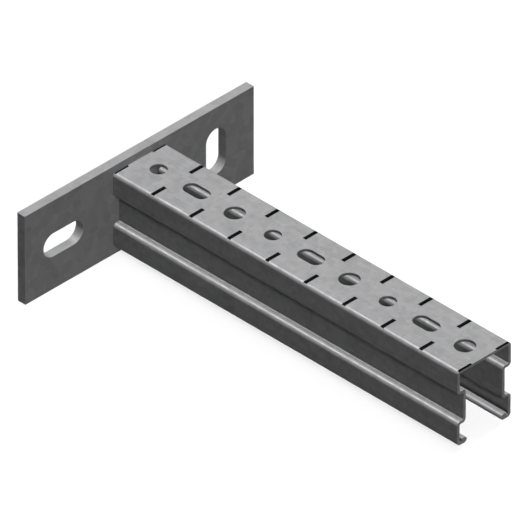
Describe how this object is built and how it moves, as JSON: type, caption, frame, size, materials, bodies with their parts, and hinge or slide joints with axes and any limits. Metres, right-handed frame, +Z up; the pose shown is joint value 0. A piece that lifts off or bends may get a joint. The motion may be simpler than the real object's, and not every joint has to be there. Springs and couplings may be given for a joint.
{
  "type": "cantilever strut arm",
  "caption": "Wall bracket for pipes and trays: a slotted flat plate with a punched, hemmed strut channel welded square to it, open side down.",
  "frame": {"origin": "middle of the wall plate's back face, the face that lies on the wall", "axes": "+X out of the wall along the arm, +Y along the plate towards the standing slot, +Z up towards the web"},
  "size_m": [0.23, 0.15, 0.05],
  "materials": {
    "plate_steel": "dull galvanised",
    "channel_steel": "smooth galvanised",
    "weld_metal": "galvanised over weld ripples"
  },
  "bodies": {
    "root": {"wall_plate": "plate_steel", "strut_channel": "channel_steel", "web_weld": "weld_metal", "left_wall_weld": "weld_metal", "right_wall_weld": "weld_metal"}
  },
  "joints": []
}
